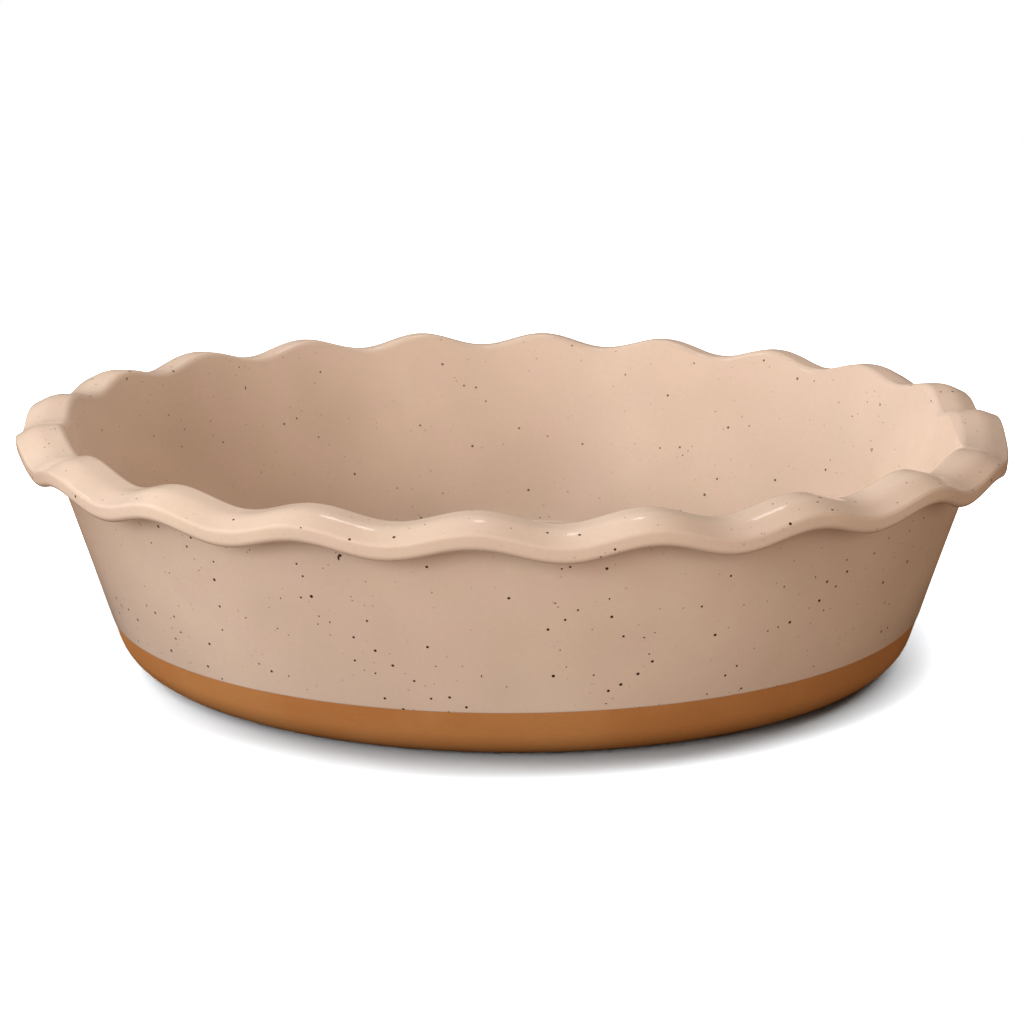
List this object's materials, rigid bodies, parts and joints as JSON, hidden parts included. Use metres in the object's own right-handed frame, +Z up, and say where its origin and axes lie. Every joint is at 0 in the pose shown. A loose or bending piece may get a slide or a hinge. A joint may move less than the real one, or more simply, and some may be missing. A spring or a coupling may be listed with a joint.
{
  "type": "pie dish",
  "caption": "Deep round pottery pie dish with sloping sides, a wavy flange rim, a speckled blush glaze and a bare clay foot.",
  "frame": {"origin": "centre of the foot, at the level of the surface that the dish stands on", "axes": "+Z up along the dish's axis, out of its mouth; -Y is the side that faces the picture's camera"},
  "size_m": [0.2812, 0.2812, 0.0697],
  "materials": {
    "bare_clay": "satin",
    "speckled_glaze": "gloss"
  },
  "bodies": {
    "root": {"clay_body": "bare_clay", "glaze_coat": "speckled_glaze"}
  },
  "joints": []
}
